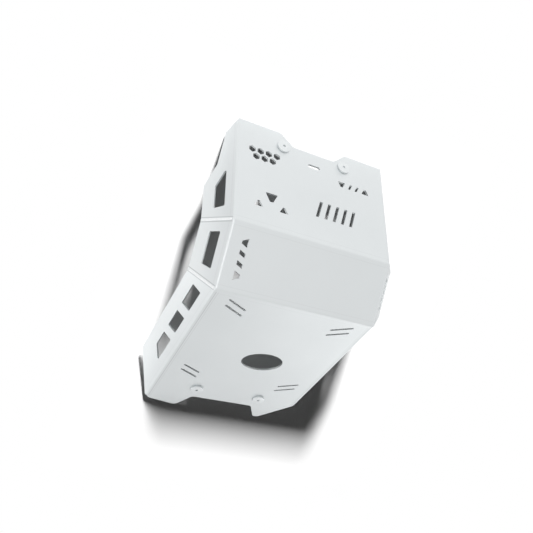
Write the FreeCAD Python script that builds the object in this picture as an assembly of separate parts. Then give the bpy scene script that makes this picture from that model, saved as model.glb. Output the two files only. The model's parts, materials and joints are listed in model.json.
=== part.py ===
import FreeCAD, Part
import math
import os

# Engine guard of a motorbike: one aluminium sheet, laser cut, bent across in two places and
# folded along both sides, with the flange corners welded shut, and four wide flat-headed screws
# that hold it to the frame. It lies as it would be put down, with its open side underneath.
# Sizes are in millimetres. X runs across the guard, Y from its rear tabs to its upper edge.

# Sheet and folds
SHEET = 3.0
BEND_INSIDE = 2.0
PANEL_WIDTH = 249.0
LOWER_LENGTH = 300.0
MIDDLE_LENGTH = 95.0
UPPER_LENGTH = 175.0
LOWER_BEND = 45.0
UPPER_BEND = 32.0
FLANGE_FOLD = 51.0
FLANGE_WIDTH = 50.0

# Weld beads on the flange corners
BEAD_RADIUS = 2.2
BEAD_PROUD = 0.7

# Upper edge and rear edge of the panels
UPPER_NOTCH_MOUTH = 113.0
UPPER_NOTCH_FLOOR = 71.0
UPPER_NOTCH_DEPTH = 19.0
REAR_NOTCH_MOUTH = 143.0
REAR_NOTCH_FLOOR = 106.0
REAR_NOTCH_DEPTH = 33.0
REAR_CORNER_SETBACK = 9.0
REAR_CORNER_CUT = 6.0
EXHAUST_CHAMFER = 55.0
RIGHT_TAB_LONGER = 5.0
RIGHT_TAB_WIDER = 3.5
TAB_ROUND = 8.0

# Free edges of the flanges, along the fold and out from it
UPPER_SHOULDER_ALONG = 68.0
UPPER_STEP_ALONG = 99.0
UPPER_STEP_OUT = 31.0
UPPER_CHAMFER = 20.0
LOWER_TAPER_LENGTH = 79.0
FLANGE_ROUND = 4.0

# Windows in the flanges
WINDOW_NEAR = 15.5
WINDOW_DEPTH = 16.3
WINDOW_ROUND = 1.8
UPPER_WINDOW_START = 25.0
UPPER_WINDOW_LENGTH = 63.0
UPPER_WINDOW_SLANT = 26.0
MIDDLE_WINDOW_START = 24.0
MIDDLE_WINDOW_LENGTH = 51.0
MIDDLE_WINDOW_SLANT = 3.5
LOWER_WINDOW_START = 27.5
LOWER_WINDOW_LENGTHS = (43.0, 38.0, 58.0)
LOWER_WINDOW_BRIDGE = 17.5
LOWER_WINDOW_SLANT = 24.0

# Drain hole and the four pairs of slots in the lower panel
DRAIN_LENGTH = 66.0
DRAIN_WIDTH = 45.0
DRAIN_OFFSET = 11.0
DRAIN_ALONG = 138.0
DRAIN_TURN = 5.5
SLOT_WIDTH = 3.4
SLOT_SPAN = 28.0
SLOT_RISE = 14.0
SLOT_PITCH = 13.0
SLOT_INNER = 69.5
FRONT_SLOTS_ALONG = 28.0
REAR_SLOTS_ALONG = 195.5

# Vents in the upper and middle panels
VENT_WEDGE_WIDE = 12.5
VENT_WEDGE_NARROW = 4.0
VENT_HEIGHT = 9.2
VENT_LEAN = 4.3
VENT_WEDGE_PITCH = 15.2
UPPER_VENT_ACROSS = 69.0
UPPER_VENT_ALONG = 116.8
UPPER_VENT_DASH = 3.8
UPPER_VENT_PITCH = 12.0
MIDDLE_VENT_ACROSS = -100.8
MIDDLE_VENT_ALONG = 46.0
MIDDLE_VENT_DASH = 5.8
MIDDLE_VENT_PITCH = 14.4
TRIO_ACROSS = -70.0
TRIO_ALONG = 44.5
TRIO_WIDE = 19.0
TRIO_NARROW = 5.5
TRIO_HEIGHT = 14.0
TRIO_SIDE_PITCH = 19.3
TRIO_SIDE_WIDE = 13.4
TRIO_SIDE_NARROW = 3.0
TRIO_SIDE_HEIGHT = 9.0
TRIO_SIDE_DROP = 12.3
HONEYCOMB_FLATS = 10.0
HONEYCOMB_PITCH = 13.0
HONEYCOMB_ACROSS = -82.0
HONEYCOMB_ALONG = 121.5
HONEYCOMB_ROWS = (4, 3)
LOUVRE_COUNT = 5
LOUVRE_WIDTH = 5.0
LOUVRE_HEIGHT = 28.0
LOUVRE_LEAN = 8.0
LOUVRE_PITCH = 14.0
LOUVRE_ACROSS = 35.0
LOUVRE_ALONG = 58.0
SHORT_SLOT_SPAN = 20.0
SHORT_SLOT_WIDTH = 6.0
SHORT_SLOT_ALONG = 131.5

# Wide flat-headed screws
SCREW_HEAD_DIAMETER = 20.5
SCREW_HEAD_HEIGHT = 3.4
SCREW_HEAD_CHAMFER = 0.8
SCREW_SOCKET_FLATS = 4.0
SCREW_SOCKET_DEPTH = 2.2
SCREW_THREAD_DIAMETER = 8.0
SCREW_NECK_DIAMETER = 7.2
SCREW_NECK_RUNOUT = 0.5
SCREW_LENGTH = 20.0
SCREW_POINT_CHAMFER = 1.0
SCREW_CLEARANCE = 0.5
UPPER_SCREW_SPACING = 104.0
UPPER_SCREW_EDGE = 25.5
REAR_SCREW_SPACING = 110.0
REAR_SCREW_EDGE = 58.0

# Worked out from the sizes above
BEND_OUTSIDE = BEND_INSIDE + SHEET
HALF_WIDTH = PANEL_WIDTH / 2
FAR = 3 * (LOWER_LENGTH + MIDDLE_LENGTH + UPPER_LENGTH)
CUT_REACH = 3 * BEND_OUTSIDE
ACROSS = FreeCAD.Vector(1, 0, 0)
LEFT, RIGHT = -1, 1
SIDES = (LEFT, RIGHT)


class Facet:
    """One flat of the sheet: a point on its outer face, two directions in it and its normal."""

    def __init__(self, origin, along, across, normal):
        self.origin = origin
        self.along = along
        self.across = across
        self.normal = normal

    def point(self, along, across):
        return self.origin + self.along * along + self.across * across

    def turned(self, along, across, along_direction, across_direction):
        return Facet(self.point(along, across), along_direction, across_direction, self.normal)


def bent(angle):
    """The direction up a panel, and its outward normal, after bends that add up to an angle."""
    turn = math.radians(angle)
    up = FreeCAD.Vector(0, math.cos(turn), -math.sin(turn))
    normal = FreeCAD.Vector(0, math.sin(turn), math.cos(turn))
    return up, normal


def flange(panel, side):
    """The flat of a flange: it turns in from the side of its panel by the fold angle."""
    turn = math.radians(FLANGE_FOLD)
    outward = ACROSS * side
    across = outward * math.cos(turn) - panel.normal * math.sin(turn)
    normal = outward * math.sin(turn) + panel.normal * math.cos(turn)
    return Facet(panel.point(0, side * HALF_WIDTH), panel.along, across, normal)


def beyond(point, normal):
    """A block that fills the space on the side of a plane that its normal points to."""
    block = Part.makeBox(2 * FAR, 2 * FAR, 2 * FAR, FreeCAD.Vector(-FAR, -FAR, 0))
    block.Placement = FreeCAD.Placement(point, FreeCAD.Rotation(FreeCAD.Vector(0, 0, 1), normal))
    return block


def corner_arc(before, corner, after, radius):
    """The start, middle, end and centre of the arc that rounds one corner of an outline."""
    back = (before - corner).normalize()
    ahead = (after - corner).normalize()
    half = back.getAngle(ahead) / 2
    setback = radius / math.tan(half)
    centre = corner + (back + ahead).normalize() * (radius / math.sin(half))
    middle = centre + (corner - centre).normalize() * radius
    return corner + back * setback, middle, corner + ahead * setback, centre


def rounded(points, radius):
    """A closed wire through points, with each corner an arc of one radius, or sharp at none."""
    if not radius:
        return Part.makePolygon(points + points[:1])
    arcs = []
    for index, corner in enumerate(points):
        arcs.append(corner_arc(points[index - 1], corner, points[(index + 1) % len(points)], radius))
    edges = []
    for index, (start, middle, end, _) in enumerate(arcs):
        edges.append(Part.Arc(start, middle, end).toShape())
        edges.append(Part.LineSegment(end, arcs[(index + 1) % len(arcs)][0]).toShape())
    return Part.Wire(edges)


def through(facet, wire):
    """A prism that cuts a wire's shape square through one flat of the sheet."""
    face = Part.Face(wire)
    face.translate(facet.normal * CUT_REACH)
    return face.extrude(facet.normal * (-2 * CUT_REACH))


def cutter(facet, outline, radius=0):
    """A prism that cuts an outline, with corners of one radius, through one flat of the sheet."""
    points = [facet.point(along, across) for along, across in outline]
    return through(facet, rounded(points, radius))


def round_cutter(facet, along, across, diameter):
    """A cylinder that cuts a round hole square through one flat of the sheet."""
    start = facet.point(along, across) + facet.normal * CUT_REACH
    return Part.makeCylinder(diameter / 2, 2 * CUT_REACH, start, facet.normal * -1)


def slot_cutter(facet, start, end, width):
    """A slot with round ends between two places on one flat of the sheet."""
    first = facet.point(*start)
    last = facet.point(*end)
    run = (last - first).normalize()
    side = facet.normal.cross(run) * (width / 2)
    cap = run * (width / 2)
    edges = [
        Part.LineSegment(first + side, last + side).toShape(),
        Part.Arc(last + side, last + cap, last - side).toShape(),
        Part.LineSegment(last - side, first - side).toShape(),
        Part.Arc(first - side, first - cap, first + side).toShape(),
    ]
    return through(facet, Part.Wire(edges))


def oval_cutter(facet, along, across, length, width, turn):
    """A prism that cuts an oval, turned a little in its flat, through the sheet."""
    middle = facet.point(along, across)
    angle = math.radians(turn)
    long_way = facet.across * math.cos(angle) - facet.along * math.sin(angle)
    short_way = facet.normal.cross(long_way)
    ellipse = Part.Ellipse(middle + long_way * (length / 2), middle + short_way * (width / 2), middle)
    return through(facet, Part.Wire(ellipse.toShape()))


# The nine flats of the sheet, each from its own fold
middle_up, middle_normal = bent(LOWER_BEND)
upper_up, upper_normal = bent(LOWER_BEND + UPPER_BEND)
LOWER_FOLD = FreeCAD.Vector(0, 0, 0)
UPPER_FOLD = LOWER_FOLD + middle_up * MIDDLE_LENGTH
lower = Facet(LOWER_FOLD, FreeCAD.Vector(0, -1, 0), ACROSS, FreeCAD.Vector(0, 0, 1))
middle = Facet(LOWER_FOLD, middle_up, ACROSS, middle_normal)
upper = Facet(UPPER_FOLD, upper_up, ACROSS, upper_normal)
PANELS = (lower, middle, upper)
FLANGES = {side: [flange(panel, side) for panel in PANELS] for side in SIDES}
LOWER_SEAM_NORMAL = (middle.along - lower.along).normalize()
UPPER_SEAM_NORMAL = (upper.along + middle.along).normalize()
SEAMS = ((LOWER_FOLD, LOWER_SEAM_NORMAL), (UPPER_FOLD, UPPER_SEAM_NORMAL))


def skin(radius, reach):
    """The guard's outer form as a solid block with bends of one radius, open ends out of reach."""
    depth = FAR / 3 + reach
    block = Part.makeBox(FAR, FAR, depth, FreeCAD.Vector(-FAR / 2, -LOWER_LENGTH - reach, -depth))
    flats = PANELS + tuple(FLANGES[LEFT]) + tuple(FLANGES[RIGHT])
    for flat in flats:
        block = block.cut(beyond(flat.origin - flat.normal * BEND_OUTSIDE, flat.normal))
    return block.makeOffsetShape(radius, 0.001, join=0)


def weld_bead(side, fold, seam_normal, flat):
    """A bead along the closed corner between two flanges, from the fold to the free edge."""
    corner = fold + ACROSS * (side * HALF_WIDTH)
    slope = -flat.across.dot(seam_normal) / flat.along.dot(seam_normal)
    end = corner + flat.across * FLANGE_WIDTH + flat.along * (slope * FLANGE_WIDTH)
    run = end - corner
    outward = run.cross(seam_normal).normalize()
    if outward.dot(flat.normal) < 0:
        outward = outward * -1
    start = corner + outward * (BEAD_PROUD - BEAD_RADIUS) + run * (BEND_OUTSIDE / run.Length)
    bead = Part.makeCylinder(BEAD_RADIUS, run.Length, start, run)
    return bead.fuse(Part.makeSphere(BEAD_RADIUS, start))


def flange_waste(side):
    """What the laser cuts away outside the free edges of one side's three flanges."""
    low_end = LOWER_LENGTH - REAR_CORNER_SETBACK
    if side == RIGHT:
        low_end = LOWER_LENGTH - EXHAUST_CHAMFER
    edges = (
        [(low_end - LOWER_TAPER_LENGTH, FLANGE_WIDTH), (low_end, 0)],
        [],
        [
            (UPPER_SHOULDER_ALONG, FLANGE_WIDTH),
            (UPPER_STEP_ALONG, UPPER_STEP_OUT),
            (UPPER_LENGTH - UPPER_CHAMFER, UPPER_CHAMFER),
            (UPPER_LENGTH, 0),
        ],
    )
    waste = []
    for flat, edge in zip(FLANGES[side], edges):
        last = edge[-1][1] if edge else FLANGE_WIDTH
        outline = [(-FAR, FLANGE_WIDTH)] + edge + [(FAR, last), (FAR, FAR), (-FAR, FAR)]
        waste.append(cutter(flat, outline, FLANGE_ROUND))
    past_lower = beyond(LOWER_FOLD, LOWER_SEAM_NORMAL)
    past_upper = beyond(UPPER_FOLD, UPPER_SEAM_NORMAL)
    waste[0] = waste[0].cut(past_lower)
    waste[1] = waste[1].common(past_lower).cut(past_upper)
    waste[2] = waste[2].common(past_upper)
    return waste


def rear_edge():
    """The corners of the notched rear edge, from the left flange to the right one."""
    corner = LOWER_LENGTH - REAR_CORNER_SETBACK
    floor = LOWER_LENGTH - REAR_NOTCH_DEPTH
    return [
        (corner - REAR_CORNER_CUT, -HALF_WIDTH),
        (corner, REAR_CORNER_CUT - HALF_WIDTH),
        (LOWER_LENGTH, -REAR_NOTCH_MOUTH / 2),
        (floor, -REAR_NOTCH_FLOOR / 2),
        (floor, REAR_NOTCH_FLOOR / 2),
        (LOWER_LENGTH + RIGHT_TAB_LONGER, REAR_NOTCH_MOUTH / 2 + RIGHT_TAB_WIDER),
        (LOWER_LENGTH - EXHAUST_CHAMFER, HALF_WIDTH),
    ]


def upper_edge():
    """The corners of the notched upper edge, from left to right."""
    floor = UPPER_LENGTH - UPPER_NOTCH_DEPTH
    return [
        (UPPER_LENGTH, -UPPER_NOTCH_MOUTH / 2),
        (floor, -UPPER_NOTCH_FLOOR / 2),
        (floor, UPPER_NOTCH_FLOOR / 2),
        (UPPER_LENGTH, UPPER_NOTCH_MOUTH / 2),
    ]


def end_waste(panel, edge):
    """What is cut away past the edge at the free end of a panel."""
    margin = HALF_WIDTH + 3 * TAB_ROUND
    left = [(FAR, -margin), (edge[0][0], -margin)]
    right = [(edge[-1][0], margin), (FAR, margin)]
    return cutter(panel, left + edge + right, TAB_ROUND)


def rear_reach():
    """How far back the round tip of the longer rear tab reaches along the lower panel."""
    edge = [FreeCAD.Vector(along, across, 0) for along, across in rear_edge()]
    reaches = []
    for tip in (2, 5):
        centre = corner_arc(edge[tip - 1], edge[tip], edge[tip + 1], TAB_ROUND)[3]
        reaches.append(centre.x + TAB_ROUND)
    return max(reaches)


def flange_windows(side):
    """The slanted windows that lighten one side's flanges."""
    near = WINDOW_NEAR
    far = WINDOW_NEAR + WINDOW_DEPTH
    low_flat, middle_flat, upper_flat = FLANGES[side]
    upper_end = UPPER_WINDOW_START + UPPER_WINDOW_LENGTH
    upper_outline = [
        (UPPER_WINDOW_START, near),
        (upper_end, near),
        (upper_end - UPPER_WINDOW_SLANT, far),
        (UPPER_WINDOW_START, far),
    ]
    middle_end = MIDDLE_WINDOW_START + MIDDLE_WINDOW_LENGTH
    middle_outline = [
        (MIDDLE_WINDOW_START, near),
        (middle_end, near),
        (middle_end - MIDDLE_WINDOW_SLANT, far),
        (MIDDLE_WINDOW_START + MIDDLE_WINDOW_SLANT, far),
    ]
    cuts = [cutter(upper_flat, upper_outline, WINDOW_ROUND)]
    cuts.append(cutter(middle_flat, middle_outline, WINDOW_ROUND))
    start = LOWER_WINDOW_START
    for index, length in enumerate(LOWER_WINDOW_LENGTHS):
        is_last = index == len(LOWER_WINDOW_LENGTHS) - 1
        slant = LOWER_WINDOW_SLANT if is_last else 0
        outline = [(start, near), (start + length, near), (start + length - slant, far), (start, far)]
        cuts.append(cutter(low_flat, outline, WINDOW_ROUND))
        start = start + length + LOWER_WINDOW_BRIDGE
    return cuts


def trapezoid(middle_at, low, high, low_width, high_width):
    """The corners of an upright trapezoid, as places along a row and across it."""
    return [
        (middle_at - low_width / 2, low),
        (middle_at + low_width / 2, low),
        (middle_at + high_width / 2, high),
        (middle_at - high_width / 2, high),
    ]


def slanted(middle_at, height, width, lean):
    """The corners of a leaning bar, as places along a row and across it."""
    foot = middle_at - lean / 2
    head = middle_at + lean / 2
    return [
        (foot - width / 2, -height / 2),
        (foot + width / 2, -height / 2),
        (head + width / 2, height / 2),
        (head - width / 2, height / 2),
    ]


def vent_row(row, dash, pitch):
    """A wedge, two leaning bars and an opposite wedge in one row."""
    half = VENT_HEIGHT / 2
    wedge_at = pitch / 2 + VENT_WEDGE_PITCH
    outlines = [
        trapezoid(-wedge_at, -half, half, VENT_WEDGE_NARROW, VENT_WEDGE_WIDE),
        slanted(-pitch / 2, VENT_HEIGHT, dash, VENT_LEAN),
        slanted(pitch / 2, VENT_HEIGHT, dash, VENT_LEAN),
        trapezoid(wedge_at, -half, half, VENT_WEDGE_WIDE, VENT_WEDGE_NARROW),
    ]
    return [cutter(row, outline) for outline in outlines]


def vent_trio(row):
    """A large wedge that points down between two small ones that point up."""
    outlines = [trapezoid(0, 0, TRIO_HEIGHT, TRIO_NARROW, TRIO_WIDE)]
    for side in SIDES:
        top = TRIO_SIDE_HEIGHT - TRIO_SIDE_DROP
        place = side * TRIO_SIDE_PITCH
        outlines.append(trapezoid(place, -TRIO_SIDE_DROP, top, TRIO_SIDE_WIDE, TRIO_SIDE_NARROW))
    return [cutter(row, outline) for outline in outlines]


def honeycomb(row):
    """Six-sided holes in staggered rows."""
    corner = HONEYCOMB_FLATS / math.sqrt(3)
    row_pitch = HONEYCOMB_PITCH * math.sqrt(3) / 2
    cuts = []
    for level, count in enumerate(HONEYCOMB_ROWS):
        height = row_pitch * ((len(HONEYCOMB_ROWS) - 1) / 2 - level)
        for index in range(count):
            place = HONEYCOMB_PITCH * (index - (count - 1) / 2)
            outline = []
            for turn in range(30, 390, 60):
                angle = math.radians(turn)
                outline.append((place + corner * math.cos(angle), height + corner * math.sin(angle)))
            cuts.append(cutter(row, outline))
    return cuts


def louvres(row):
    """A row of tall leaning slots."""
    cuts = []
    for index in range(LOUVRE_COUNT):
        place = LOUVRE_PITCH * (index - (LOUVRE_COUNT - 1) / 2)
        cuts.append(cutter(row, slanted(place, LOUVRE_HEIGHT, LOUVRE_WIDTH, LOUVRE_LEAN)))
    return cuts


def panel_vents():
    """All the openings cut in the upper and middle panels."""
    up = upper.along
    top_row = upper.turned(UPPER_VENT_ALONG, UPPER_VENT_ACROSS, ACROSS, up)
    cuts = vent_row(top_row, UPPER_VENT_DASH, UPPER_VENT_PITCH)
    down = middle.along * -1
    side_row = middle.turned(MIDDLE_VENT_ALONG, MIDDLE_VENT_ACROSS, down, ACROSS)
    cuts += vent_row(side_row, MIDDLE_VENT_DASH, MIDDLE_VENT_PITCH)
    cuts += vent_trio(upper.turned(TRIO_ALONG, TRIO_ACROSS, ACROSS, up))
    cuts += honeycomb(upper.turned(HONEYCOMB_ALONG, HONEYCOMB_ACROSS, ACROSS, up))
    cuts += louvres(upper.turned(LOUVRE_ALONG, LOUVRE_ACROSS, ACROSS, up))
    reach = (SHORT_SLOT_SPAN - SHORT_SLOT_WIDTH) / 2
    cuts.append(slot_cutter(upper, (SHORT_SLOT_ALONG, -reach), (SHORT_SLOT_ALONG, reach), SHORT_SLOT_WIDTH))
    return cuts


def lower_openings():
    """The drain hole and the slanted pairs of slots in the lower panel."""
    cuts = [oval_cutter(lower, DRAIN_ALONG, DRAIN_OFFSET, DRAIN_LENGTH, DRAIN_WIDTH, DRAIN_TURN)]
    for side in SIDES:
        for first in (FRONT_SLOTS_ALONG, REAR_SLOTS_ALONG):
            for along in (first, first + SLOT_PITCH):
                inner = (along, side * SLOT_INNER)
                outer = (along - SLOT_RISE, side * (SLOT_INNER + SLOT_SPAN))
                cuts.append(slot_cutter(lower, inner, outer, SLOT_WIDTH))
    return cuts


def screw_places():
    """The flat, and the place along and across it, of each of the four screws."""
    places = []
    for side in SIDES:
        places.append((upper, UPPER_LENGTH - UPPER_SCREW_EDGE, side * UPPER_SCREW_SPACING / 2))
        places.append((lower, LOWER_LENGTH - REAR_SCREW_EDGE, side * REAR_SCREW_SPACING / 2))
    return places


def guard_plate():
    """The folded and welded sheet with every opening cut."""
    outside = skin(BEND_OUTSIDE, FLANGE_WIDTH)
    inside = skin(BEND_INSIDE, 2 * FLANGE_WIDTH)
    sheet = outside.cut(inside)
    beads = []
    for side in SIDES:
        for (fold, seam_normal), flat in zip(SEAMS, FLANGES[side][1:]):
            beads.append(weld_bead(side, fold, seam_normal, flat))
    sheet = sheet.fuse(beads)
    cuts = [end_waste(lower, rear_edge()), end_waste(upper, upper_edge())]
    cuts += lower_openings() + panel_vents()
    for side in SIDES:
        cuts += flange_waste(side) + flange_windows(side)
    hole = SCREW_THREAD_DIAMETER + 2 * SCREW_CLEARANCE
    for flat, along, across in screw_places():
        cuts.append(round_cutter(flat, along, across, hole))
    return sheet.cut(cuts).removeSplitter()


def screw():
    """A wide flat-headed screw, head up, with the underside of its head at the origin."""
    head = SCREW_HEAD_DIAMETER / 2
    thread = SCREW_THREAD_DIAMETER / 2
    neck = SCREW_NECK_DIAMETER / 2
    neck_end = -SHEET - SCREW_NECK_RUNOUT
    corners = [
        FreeCAD.Vector(0, 0, SCREW_HEAD_HEIGHT),
        FreeCAD.Vector(0, 0, -SCREW_LENGTH),
        FreeCAD.Vector(thread - SCREW_POINT_CHAMFER, 0, -SCREW_LENGTH),
        FreeCAD.Vector(thread, 0, SCREW_POINT_CHAMFER - SCREW_LENGTH),
        FreeCAD.Vector(thread, 0, neck_end),
        FreeCAD.Vector(neck, 0, neck_end),
        FreeCAD.Vector(neck, 0, 0),
        FreeCAD.Vector(head, 0, 0),
        FreeCAD.Vector(head, 0, SCREW_HEAD_HEIGHT - SCREW_HEAD_CHAMFER),
        FreeCAD.Vector(head - SCREW_HEAD_CHAMFER, 0, SCREW_HEAD_HEIGHT),
        FreeCAD.Vector(0, 0, SCREW_HEAD_HEIGHT),
    ]
    profile = Part.Face(Part.makePolygon(corners))
    body = profile.revolve(FreeCAD.Vector(0, 0, 0), FreeCAD.Vector(0, 0, 1), 360)
    corner = SCREW_SOCKET_FLATS / math.sqrt(3)
    hexagon = []
    for turn in range(0, 420, 60):
        angle = math.radians(turn)
        hexagon.append(FreeCAD.Vector(corner * math.cos(angle), corner * math.sin(angle), SCREW_HEAD_HEIGHT))
    socket = Part.Face(Part.makePolygon(hexagon)).extrude(FreeCAD.Vector(0, 0, -SCREW_SOCKET_DEPTH))
    return body.cut(socket)


def mounting_screws():
    """The four screws, seated on the outer face of the sheet."""
    upright = FreeCAD.Vector(0, 0, 1)
    solids = []
    for flat, along, across in screw_places():
        solid = screw()
        turn = FreeCAD.Rotation(upright, flat.normal)
        solid.Placement = FreeCAD.Placement(flat.point(along, across), turn)
        solids.append(solid)
    return Part.makeCompound(solids)


def laid_down(shapes):
    """The shapes turned to lie on the rear tabs and the upper edge, centred over the origin."""
    rear = lower.point(rear_reach(), 0) - lower.normal * SHEET
    top = upper.point(UPPER_LENGTH, 0) - upper.normal * SHEET
    slope = math.degrees(math.atan2(top.z - rear.z, top.y - rear.y))
    level = FreeCAD.Placement(FreeCAD.Vector(0, 0, 0), FreeCAD.Rotation(ACROSS, -slope))
    turned = {name: shape.transformed(level.toMatrix()) for name, shape in shapes.items()}
    box = Part.makeCompound(list(turned.values())).optimalBoundingBox(False, False)
    to_origin = FreeCAD.Vector(-box.Center.x, -box.Center.y, -box.ZMin)
    for shape in turned.values():
        shape.translate(to_origin)
    return turned


parts = laid_down({"guard_plate": guard_plate(), "mounting_screws": mounting_screws()})
os.makedirs("parts", exist_ok=True)
for name, shape in parts.items():
    shape.exportStep("parts/" + name + ".step")
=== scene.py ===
import json
import math

import bpy
from mathutils import Matrix, Quaternion, Vector


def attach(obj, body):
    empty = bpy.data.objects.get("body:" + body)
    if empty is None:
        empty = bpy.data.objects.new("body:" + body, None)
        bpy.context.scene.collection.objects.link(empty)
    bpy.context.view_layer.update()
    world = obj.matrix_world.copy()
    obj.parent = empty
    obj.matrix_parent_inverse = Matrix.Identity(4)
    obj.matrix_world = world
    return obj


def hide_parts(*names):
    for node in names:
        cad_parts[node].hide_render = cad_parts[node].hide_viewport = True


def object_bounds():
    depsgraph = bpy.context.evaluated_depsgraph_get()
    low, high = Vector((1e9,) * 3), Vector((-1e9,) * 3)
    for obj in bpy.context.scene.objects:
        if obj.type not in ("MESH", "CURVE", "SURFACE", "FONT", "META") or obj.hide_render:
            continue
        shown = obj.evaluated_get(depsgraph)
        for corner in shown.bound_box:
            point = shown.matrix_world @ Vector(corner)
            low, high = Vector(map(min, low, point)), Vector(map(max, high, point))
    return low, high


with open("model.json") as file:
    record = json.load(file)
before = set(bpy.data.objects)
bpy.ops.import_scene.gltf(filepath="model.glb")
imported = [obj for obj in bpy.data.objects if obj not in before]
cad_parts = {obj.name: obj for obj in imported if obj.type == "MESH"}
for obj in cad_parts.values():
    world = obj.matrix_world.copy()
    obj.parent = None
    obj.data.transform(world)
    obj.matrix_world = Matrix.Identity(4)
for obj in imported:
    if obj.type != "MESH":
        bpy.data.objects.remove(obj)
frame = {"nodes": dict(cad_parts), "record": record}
cad_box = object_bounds()
nodes = frame["nodes"]

# The guard itself is one aluminium sheet, laser cut, bent in a press brake and folded along its
# sides. It has a satin silver coat with a very fine grain. Its flanges have painted light, paler
# towards their outer edges, and painted shade, greyer near their folds. Grey lines of painted
# shade lie beside each bend and fold, over shallow dents, and beside each closed corner.

MM = 0.001
HALF_WIDTH = 124.5 * MM
LOWER_FOLD = Vector((0.0, 23.132, 153.502)) * MM
UPPER_FOLD = Vector((0.0, 115.025, 129.405)) * MM
LOWER_MITRE = Vector((0.0, 0.9907, 0.1358))
UPPER_MITRE = Vector((0.0, 0.8599, -0.5104))

COAT_LIGHT = (0.745, 0.772, 0.78, 1.0)
COAT_SHADE = (0.7, 0.727, 0.735, 1.0)
# Painted shade: the grey of the lines beside the welded corners.
WELD_SHADE_GREY = (0.42, 0.435, 0.445, 1.0)
# Painted shade: the grey along the bends and folds, and on the flanges near their folds.
PAINTED_SHADE_GREY = (0.5, 0.515, 0.525, 1.0)
# Painted light: the paler colour towards the flanges' outer edges.
PAINTED_LIGHT_EDGE = (0.88, 0.905, 0.91, 1.0)
METALLIC = 0.95
COAT_ROUGHNESS = 0.42
COAT_ROUGHER = 0.12

# Thin lines, each with its middle and half width in millimetres.
# Painted shade beside the welded corners.
WELD_SHADE_LINE = (3.0, 1.1)
# Painted shade and a shallow dent beside the bends, and along the flange folds.
BEND_LINE = (6.5, 0.7)
FLANGE_LINE = (3.6, 0.6)
# Painted shade and a shallow dent on the lower panel beside its folds.
CREASE_LINE = (-3.4, 0.9)
FAINT_CREASE_LINE = (-6.4, 0.8)

# Distances in millimetres between which a zone of the sheet begins or ends.
FLANGE_BEGINS = (0.5, 1.5)
LOWER_PANEL_ENDS = (-6.0, -3.0)
# Painted light grows towards the flanges' outer edges.
PAINTED_LIGHT_BEGINS = (8.0, 32.0)
# Painted shade covers the flanges near their folds.
FOLD_SHADE_ENDS = (2.0, 18.0)

# How strongly each mark tints the coat with painted light or painted shade, and how deep it is in
# the grain.
PAINTED_LIGHT_TINT = 0.42
FOLD_SHADE_TINT = 0.15
WELD_SHADE_TINT = 0.7
BEND_SHADE_TINT = 0.16
CREASE_SHADE_TINT = 0.8
FAINT_CREASE = 0.5
GRAIN_HEIGHT = 0.6
PRESS_DEPTH = 0.4
CREASE_DEPTH = 0.6
COAT_RELIEF = 0.12
RELIEF_DEPTH = 0.2 * MM

# Patterns, each with its scale and detail.
CLOUD_PATTERN = (9.0, 3.0)
GRAIN_PATTERN = (1400.0, 2.0)
PEEL_PATTERN = (260.0, 1.0)


class Socket:
    """A shader value that grows Math nodes from plain arithmetic."""

    def __init__(self, finish, link):
        self.finish = finish
        self.link = link

    def math(self, operation, other=0.0, swapped=False):
        first, second = (other, self) if swapped else (self, other)
        settings = {"operation": operation}
        return self.finish.node("ShaderNodeMath", settings, {0: first, 1: second})

    def __add__(self, other):
        return self.math("ADD", other)

    __radd__ = __add__

    def __sub__(self, other):
        return self.math("SUBTRACT", other)

    def __rsub__(self, other):
        return self.math("SUBTRACT", other, swapped=True)

    def __mul__(self, other):
        return self.math("MULTIPLY", other)

    __rmul__ = __mul__

    def size(self):
        return self.math("ABSOLUTE")

    def least(self, other):
        return self.math("MINIMUM", other)

    def most(self, other):
        return self.math("MAXIMUM", other)


class Finish:
    """One node tree and its shader, with a single method that adds any node."""

    def __init__(self, name):
        self.material = bpy.data.materials.new(name)
        self.material.use_nodes = True
        self.tree = self.material.node_tree
        self.shader = self.tree.nodes["Principled BSDF"]

    def node(self, kind, settings=None, inputs=None, output=0):
        made = self.tree.nodes.new(kind)
        for key, value in (settings or {}).items():
            setattr(made, key, value)
        for key, value in (inputs or {}).items():
            self.feed(made.inputs[key], value)
        return Socket(self, made.outputs[output])

    def feed(self, target, value):
        if isinstance(value, Socket):
            self.tree.links.new(value.link, target)
        else:
            target.default_value = value

    def set(self, **values):
        for name, value in values.items():
            self.feed(self.shader.inputs[name.replace("_", " ").title()], value)

    def place(self):
        return self.node("ShaderNodeTexCoord", output="Object")

    def noise(self, scale, detail):
        values = {"Vector": self.place(), "Scale": scale, "Detail": detail}
        return self.node("ShaderNodeTexNoise", {}, values)

    def axis(self, name):
        return self.node("ShaderNodeSeparateXYZ", {}, {0: self.place()}, output=name)

    def blend(self, factor, first, second):
        """Mix two colours, by a Mix node's colour sockets: inputs 6 and 7 and output 2."""
        values = {0: factor, 6: first, 7: second}
        return self.node("ShaderNodeMix", {"data_type": "RGBA"}, values, output=2)

    def ramp(self, value, start, end, low=0.0, high=1.0):
        span = {"Value": value, "From Min": start, "From Max": end, "To Min": low, "To Max": high}
        return self.node("ShaderNodeMapRange", {"interpolation_type": "SMOOTHSTEP"}, span)

    def relief(self, height, strength, depth):
        values = {"Strength": strength, "Distance": depth, "Height": height}
        return self.node("ShaderNodeBump", {}, values)

    def dress(self, piece):
        piece.data.materials.clear()
        piece.data.materials.append(self.material)


coat = Finish("satin_silver_coat")


def past_mitre(fold, normal):
    """How far a place is beyond the plane that halves a bend."""
    vectors = {0: coat.place(), 1: normal}
    reach = coat.node("ShaderNodeVectorMath", {"operation": "DOT_PRODUCT"}, vectors, "Value")
    return reach - fold.dot(normal)


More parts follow.
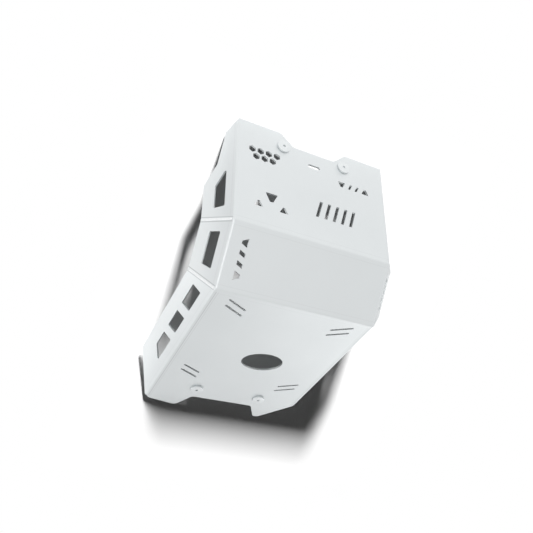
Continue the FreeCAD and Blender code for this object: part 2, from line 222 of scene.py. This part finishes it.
def thin_line(distance, middle, half):
    """1 along the middle of a thin line, falling to 0 at its edges."""
    return coat.ramp((distance - middle * MM).size(), 0.0, half * MM, 1.0, 0.0)


def begins(distance, start, end):
    """0 up to the start of a zone and 1 past its end."""
    return coat.ramp(distance, start * MM, end * MM)


def ends(distance, start, end):
    """1 up to where a zone starts to end and 0 past it."""
    return coat.ramp(distance, start * MM, end * MM, 1.0, 0.0)


past_lower_bend = past_mitre(LOWER_FOLD, LOWER_MITRE)
from_bend = past_lower_bend.size().least(past_mitre(UPPER_FOLD, UPPER_MITRE).size())
from_side = coat.axis("X").size() - HALF_WIDTH
on_flange = begins(from_side, *FLANGE_BEGINS)
on_lower_panel = ends(past_lower_bend, *LOWER_PANEL_ENDS)
# Painted shade: grey lines beside the welded corners, on the flanges.
weld_shade = thin_line(from_bend, *WELD_SHADE_LINE) * on_flange
# Painted shade, with a shallow dent in the bump, beside the bends and along the flange folds.
press_dent_and_shade = thin_line(from_bend, *BEND_LINE) * (1 - on_flange) + thin_line(from_side, *FLANGE_LINE)
# Painted shade, with a shallow dent in the bump, on the lower panel beside its folds.
faint_crease_dent_and_shade = thin_line(from_side, *FAINT_CREASE_LINE) * FAINT_CREASE
crease_dent_and_shade = (thin_line(from_side, *CREASE_LINE) + faint_crease_dent_and_shade) * on_lower_panel
# Painted light: paler towards the flanges' outer edges.
painted_light = begins(from_side, *PAINTED_LIGHT_BEGINS)
# Painted shade: greyer on the flanges near their folds.
fold_shade = ends(from_side, *FOLD_SHADE_ENDS) * on_flange
cloud = coat.noise(*CLOUD_PATTERN)
grain = coat.noise(*GRAIN_PATTERN)
peel = coat.noise(*PEEL_PATTERN)
tone = coat.blend(cloud, COAT_LIGHT, COAT_SHADE)
# The rest of the colour is painted light at the flanges' outer edges and painted shade near their
# folds, beside the welded corners and along the bends.
tone = coat.blend(painted_light * PAINTED_LIGHT_TINT, tone, PAINTED_LIGHT_EDGE)
tone = coat.blend(fold_shade * FOLD_SHADE_TINT, tone, PAINTED_SHADE_GREY)
tone = coat.blend(weld_shade * WELD_SHADE_TINT, tone, WELD_SHADE_GREY)
tone = coat.blend(press_dent_and_shade * BEND_SHADE_TINT + crease_dent_and_shade * CREASE_SHADE_TINT, tone, PAINTED_SHADE_GREY)
height = grain * GRAIN_HEIGHT + peel - press_dent_and_shade * PRESS_DEPTH - crease_dent_and_shade * CREASE_DEPTH
coat.set(
    base_color=tone,
    roughness=cloud * COAT_ROUGHER + COAT_ROUGHNESS,
    metallic=METALLIC,
    normal=coat.relief(height, COAT_RELIEF, RELIEF_DEPTH),
)
coat.dress(nodes["guard_plate"])

# The closed corners of the flanges are welded by hand with aluminium wire, one puddle after
# another, so that each bead is a row of overlapping ripples, brighter than the coat beside it.

RIPPLE_HALF_LENGTH = 2.0 * MM
RIPPLE_HALF_WIDTH = 2.0 * MM
RIPPLE_HEIGHT = 1.6 * MM
RIPPLE_LEAN = math.radians(14)
RIPPLE_PITCH = 1.9 * MM
RIPPLE_COUNT = 24
RIPPLE_SEGMENTS = 14
RIPPLE_RINGS = 8
BEAD_START = 4.8 * MM
BEAD_SUNK = 0.7 * MM
LOWER_SEAM = Vector((-31.466, 5.713, -41.669)).normalized()
UPPER_SEAM = Vector((-31.466, -20.634, -34.760)).normalized()
BEAD_BRIGHT = (0.9, 0.915, 0.92, 1.0)
BEAD_DULL = (0.82, 0.84, 0.845, 1.0)
BEAD_ROUGHNESS = 0.3
BEAD_ROUGHER = 0.2
BEAD_RELIEF = 0.15
SPATTER_PATTERN = (500.0, 3.0)
ORIGIN = (0.0, 0.0, 0.0)


def fresh(adds, **settings):
    """A new primitive with nothing else selected."""
    bpy.ops.object.select_all(action="DESELECT")
    adds(**settings)
    return bpy.context.object


def only(piece):
    """Select one piece alone and make it the active one."""
    bpy.ops.object.select_all(action="DESELECT")
    piece.select_set(True)
    bpy.context.view_layer.objects.active = piece


def editing(piece):
    """Go into edit mode with the whole piece selected."""
    only(piece)
    bpy.ops.object.mode_set(mode="EDIT")
    bpy.ops.mesh.select_all(action="SELECT")


def done():
    """Leave edit mode."""
    bpy.ops.object.mode_set(mode="OBJECT")


def applied(piece, kind, **settings):
    """Add a modifier, set it and apply it."""
    only(piece)
    modifier = piece.modifiers.new(kind.lower(), kind)
    for key, value in settings.items():
        setattr(modifier, key, value)
    bpy.ops.object.modifier_apply(modifier=modifier.name)


def copied(piece, name, turn):
    """A copy with its own mesh, moved by a matrix that goes into that mesh."""
    only(piece)
    bpy.ops.object.duplicate(linked=False)
    copy = bpy.context.object
    copy.name = name
    copy.matrix_world = turn
    bpy.ops.object.transform_apply(location=True, rotation=True, scale=True)
    return copy


def joined(pieces):
    """Several pieces made into one, which keeps the name of the first."""
    only(pieces[0])
    for piece in pieces:
        piece.select_set(True)
    bpy.ops.object.join()
    return bpy.context.object


ripples = fresh(
    bpy.ops.mesh.primitive_uv_sphere_add,
    segments=RIPPLE_SEGMENTS,
    ring_count=RIPPLE_RINGS,
    radius=1.0,
)
editing(ripples)
bpy.ops.transform.resize(value=(RIPPLE_HALF_LENGTH, RIPPLE_HALF_WIDTH, RIPPLE_HEIGHT))
bpy.ops.transform.rotate(value=RIPPLE_LEAN, orient_axis="Y", center_override=ORIGIN)
bpy.ops.transform.translate(value=(BEAD_START, 0.0, -BEAD_SUNK))
done()
applied(
    ripples,
    "ARRAY",
    count=RIPPLE_COUNT,
    use_relative_offset=False,
    use_constant_offset=True,
    constant_offset_displace=(RIPPLE_PITCH, 0.0, 0.0),
)
only(ripples)
bpy.ops.object.shade_smooth()

bead = Finish("bright_weld_bead")
spatter = bead.noise(*SPATTER_PATTERN)
bead.set(
    base_color=bead.blend(spatter, BEAD_BRIGHT, BEAD_DULL),
    roughness=spatter * BEAD_ROUGHER + BEAD_ROUGHNESS,
    metallic=METALLIC,
    normal=bead.relief(spatter, BEAD_RELIEF, RELIEF_DEPTH),
)
bead.dress(ripples)

seams = (
    ("lower", LOWER_FOLD, LOWER_SEAM, LOWER_MITRE),
    ("upper", UPPER_FOLD, UPPER_SEAM, UPPER_MITRE),
)
for name, fold, seam, mitre in seams:
    for side, hand in (("left", 1), ("right", -1)):
        run = Vector((seam.x * hand, seam.y, seam.z))
        out = run.cross(mitre).normalized()
        out = out if out.z > 0 else -out
        across = out.cross(run)
        corner = fold - Vector((HALF_WIDTH * hand, 0.0, 0.0))
        turn = Matrix.Translation(corner) @ Matrix((run, across, out)).transposed().to_4x4()
        weld = copied(ripples, f"{name}_{side}_weld_bead", turn)
        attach(weld, "root")
bpy.data.objects.remove(ripples)

# Four wide flat-headed screws hold the guard to the frame. They are plated steel, pressed and
# rolled, with a hexagon socket, an M8 thread and a plain neck where they pass the sheet.

HEAD_RADIUS = 10.25 * MM
HEAD_HEIGHT = 3.4 * MM
HEAD_EDGE = 0.7 * MM
HEAD_SIDES = 64
SOCKET_RADIUS = 4.0 * MM / math.sqrt(3)
SOCKET_DEPTH = 2.2 * MM
NECK_RADIUS = 3.6 * MM
NECK_LENGTH = 3.5 * MM
CORE_RADIUS = 3.4 * MM
CORE_SIDES = 48
SCREW_LENGTH = 20.0 * MM
POINT_CHAMFER = 0.8 * MM
SEAT_ABOVE_THREAD = 3.5 * MM
THREAD_RADIUS = 4.0 * MM
THREAD_PITCH = 1.25 * MM
THREAD_TURNS = 12
THREAD_STEPS = 28
RIDGE = THREAD_RADIUS - CORE_RADIUS
RIDGE_WIDTH = 1.2 * RIDGE
RIDGE_MIDDLE = THREAD_RADIUS - 0.6 * RIDGE
RIDGE_FOOT = 0.9 * THREAD_PITCH
CREST_SHARE = 0.15
SHARP_EDGE = math.radians(40)
SMOOTH_EDGE = math.radians(35)
SPIN_PER_SCREW = math.radians(23)
STEEL_LIGHT = (0.78, 0.807, 0.815, 1.0)
STEEL_SHADE = (0.73, 0.757, 0.765, 1.0)
STEEL_ROUGHNESS = 0.4
STEEL_ROUGHER = 0.14
STEEL_RELIEF = 0.1
TURNING_DEPTH = 0.1 * MM
SCUFF_PATTERN = (120.0, 2.0)
TURNING_PATTERN = (900.0, 2.0)
UPWARDS = Vector((0.0, 0.0, 1.0))


def rod(sides, radius, low, high):
    """A prism or cylinder between two heights, with its place in its mesh."""
    made = fresh(
        bpy.ops.mesh.primitive_cylinder_add,
        vertices=sides,
        radius=radius,
        depth=high - low,
        location=(0.0, 0.0, (low + high) / 2),
    )
    bpy.ops.object.transform_apply(location=True)
    return made


def rounded(piece, width, segments):
    """Bevel the sharp edges of a piece."""
    applied(
        piece,
        "BEVEL",
        width=width,
        segments=segments,
        limit_method="ANGLE",
        angle_limit=SHARP_EDGE,
    )


head = rod(HEAD_SIDES, HEAD_RADIUS, 0.0, HEAD_HEIGHT)
rounded(head, HEAD_EDGE, segments=4)
hexagon = rod(6, SOCKET_RADIUS, HEAD_HEIGHT - SOCKET_DEPTH, HEAD_HEIGHT + SOCKET_DEPTH)
applied(head, "BOOLEAN", operation="DIFFERENCE", object=hexagon, solver="EXACT")
bpy.data.objects.remove(hexagon)
shank = rod(CORE_SIDES, CORE_RADIUS, -SCREW_LENGTH, 0.0)
rounded(shank, POINT_CHAMFER, segments=2)
neck = rod(CORE_SIDES, NECK_RADIUS, -NECK_LENGTH, 0.0)

thread = fresh(bpy.ops.mesh.primitive_plane_add, size=1.0)
editing(thread)
bpy.ops.transform.rotate(value=math.radians(90), orient_axis="X", center_override=ORIGIN)
bpy.ops.transform.resize(value=(RIDGE_WIDTH, 1.0, RIDGE_FOOT))
bpy.ops.transform.translate(value=(RIDGE_MIDDLE, 0.0, -NECK_LENGTH - THREAD_PITCH / 2))
bpy.ops.mesh.select_all(action="DESELECT")
done()
for vertex in thread.data.vertices:
    vertex.select = vertex.co.x > CORE_RADIUS
bpy.ops.object.mode_set(mode="EDIT")
bpy.ops.transform.resize(value=(1.0, 1.0, CREST_SHARE))
done()
applied(
    thread,
    "SCREW",
    axis="Z",
    angle=2 * math.pi,
    screw_offset=-THREAD_PITCH,
    iterations=THREAD_TURNS,
    steps=THREAD_STEPS,
    render_steps=THREAD_STEPS,
)
editing(thread)
bpy.ops.mesh.fill_holes(sides=0)
bpy.ops.mesh.normals_make_consistent(inside=False)
done()
screw = joined([head, neck, shank, thread])
only(screw)
bpy.ops.object.shade_smooth_by_angle(angle=SMOOTH_EDGE)

steel = Finish("plated_screw_steel")
scuff = steel.noise(*SCUFF_PATTERN)
turning = steel.noise(*TURNING_PATTERN)
steel.set(
    base_color=steel.blend(scuff, STEEL_LIGHT, STEEL_SHADE),
    roughness=scuff * STEEL_ROUGHER + STEEL_ROUGHNESS,
    metallic=METALLIC,
    normal=steel.relief(turning, STEEL_RELIEF, TURNING_DEPTH),
)
steel.dress(screw)

places = []
for index, mount in enumerate(frame["record"]["mounts"]):
    inward = Vector(mount["axis"])
    half_thread = mount["dims"]["length_mm"] * MM / 2
    seat = Vector(mount["pos_m"]) - inward * (SEAT_ABOVE_THREAD + half_thread)
    upright = UPWARDS.rotation_difference(-inward)
    spin = Quaternion(UPWARDS, SPIN_PER_SCREW * index)
    turn = Matrix.Translation(seat) @ (upright @ spin).to_matrix().to_4x4()
    places.append(copied(screw, f"mounting_screw_{index + 1}", turn))
bpy.data.objects.remove(screw)
screws = joined(places)
screws.name = "mounting_screw_set"
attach(screws, "root")
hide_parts("mounting_screws")

# The studio is a plain pale floor, greyer towards its one soft lamp, so that it is lit evenly. The
# lamp stands low behind the guard, a little to the left, and the shadow falls past the rear tabs
# and to the right. White cards stand around for the metal to show.

FLOOR_SIDE = 12.0
FLOOR_WHITE = (0.8, 0.8, 0.8, 1.0)
FLOOR_GREY = (0.38, 0.38, 0.38, 1.0)
FLOOR_ROUGHNESS = 0.9
FLOOR_MIRRORED = 0.85
GREY_START = -0.4
GREY_END = 0.4
GREY_SKEW = 0.2
SHADOW_LOW = Vector((-0.17, -0.31))
SHADOW_HIGH = Vector((0.26, 0.24))
SHADOW_FADE = 0.08
PLAIN_WHITE = (1.0, 1.0, 1.0, 1.0)
AMBIENT = 0.04
ZENITH = 0.78
BACK = 0.965

floor = fresh(bpy.ops.mesh.primitive_plane_add, size=FLOOR_SIDE)
floor.name = "floor"
paper = Finish("white_floor")
across = paper.axis("X")
along = paper.axis("Y")
towards_lamp = paper.ramp(along - across * GREY_SKEW, GREY_START, GREY_END)
paper.set(
    base_color=paper.blend(towards_lamp, FLOOR_WHITE, FLOOR_GREY),
    roughness=FLOOR_ROUGHNESS,
)
paper.dress(floor)


def ray(finish, kind):
    """What the Light Path node says of the ray that has come to a surface."""
    return finish.node("ShaderNodeLightPath", output=kind)


def looked_at(finish):
    """1 for a ray that shows its target to the camera, straight or in a reflection, and else 0."""
    seen = ray(finish, "Is Camera Ray")
    mirrored = ray(finish, "Is Glossy Ray")
    passed = ray(finish, "Is Transmission Ray")
    scattered = ray(finish, "Diffuse Depth")
    return seen.most(mirrored).most(passed) * (1 - scattered.least(1.0))


beside = (SHADOW_LOW.x - across).most(across - SHADOW_HIGH.x)
before = (SHADOW_LOW.y - along).most(along - SHADOW_HIGH.y)
fade = paper.ramp(beside.most(before), 0.0, SHADOW_FADE)
glow = 1 - ray(paper, "Is Glossy Ray") * (1 - FLOOR_MIRRORED)
white = paper.node("ShaderNodeEmission", {}, {"Color": PLAIN_WHITE, "Strength": glow})
plain = Socket(paper, paper.shader.outputs[0])
sheet = paper.node("ShaderNodeMixShader", {}, {0: looked_at(paper) * fade, 1: plain, 2: white})
paper.feed(paper.tree.nodes["Material Output"].inputs["Surface"], sheet)
paper.material.cycles.emission_sampling = "NONE"


def area_lamp(name, place, size, power):
    """A square soft lamp that points at the middle of the guard."""
    lamp = fresh(bpy.ops.object.light_add, type="AREA", location=place)
    lamp.name = name
    lamp.data.energy = power
    lamp.data.size = size
    aim = (cad_box[0] + cad_box[1]) / 2 - Vector(place)
    lamp.rotation_mode = "QUATERNION"
    lamp.rotation_quaternion = aim.to_track_quat("-Z", "Y")
    return lamp


main_lamp = area_lamp("main_lamp", place=(-0.335, 1.9, 1.09), size=0.23, power=191.0)
main_lamp.visible_glossy = False
cards = (
    area_lamp("front_card", place=(1.3, -1.35, 0.4), size=1.0, power=2.6),
    area_lamp("side_card", place=(-1.5, -1.1, 0.3), size=0.9, power=4.0),
    area_lamp("camera_card", place=(-0.6, 0.38, 1.35), size=0.25, power=1.5),
)
for card in cards:
    card.visible_diffuse = False


class Sky(Finish):
    """The world's node tree, built in the same way as a material's."""

    def __init__(self, name):
        self.world = bpy.data.worlds.new(name)
        self.world.use_nodes = True
        self.tree = self.world.node_tree
        self.shader = self.tree.nodes["Background"]

    def facing(self, name):
        """How far a direction goes towards the positive end of an axis."""
        direction = self.node("ShaderNodeTexCoord", output="Generated")
        return self.node("ShaderNodeSeparateXYZ", {}, {0: direction}, output=name).most(0.0)


sky = Sky("studio")
dimmed = sky.facing("Z") * (1 - ZENITH) + sky.facing("Y") * (1 - BACK)
dome = 1 - dimmed * ray(sky, "Is Glossy Ray")
shown = looked_at(sky)
sky.set(color=PLAIN_WHITE, strength=shown * dome + (1 - shown) * AMBIENT)
sky.world.cycles.sampling_method = "NONE"
bpy.context.scene.world = sky.world

# The camera stands high to the left of the guard's upper edge and looks down across it, turned on
# its own axis, as the photograph was taken: the upper edge is at the top and a little nearer, and
# the rear tabs are at the foot of the picture.

IMAGE_SIDE = 533
FOCAL_PIXELS = 600.0
SENSOR_WIDTH = 36.0
CAMERA_PLACE = Vector((-0.37475, 0.24922, 0.85893))
CAMERA_RIGHT = Vector((0.8909, 0.3405, 0.3006))
CAMERA_AHEAD = Vector((0.3882, -0.2269, -0.8932))

ahead = CAMERA_AHEAD.normalized()
up = CAMERA_RIGHT.cross(ahead).normalized()
right = ahead.cross(up)
facing = Matrix((right, up, -ahead)).transposed().to_4x4()
camera = fresh(bpy.ops.object.camera_add)
camera.data.sensor_width = SENSOR_WIDTH
camera.data.lens = SENSOR_WIDTH * FOCAL_PIXELS / IMAGE_SIDE
camera.matrix_world = Matrix.Translation(CAMERA_PLACE) @ facing
bpy.context.scene.camera = camera
bpy.context.scene.view_settings.view_transform = "Standard"
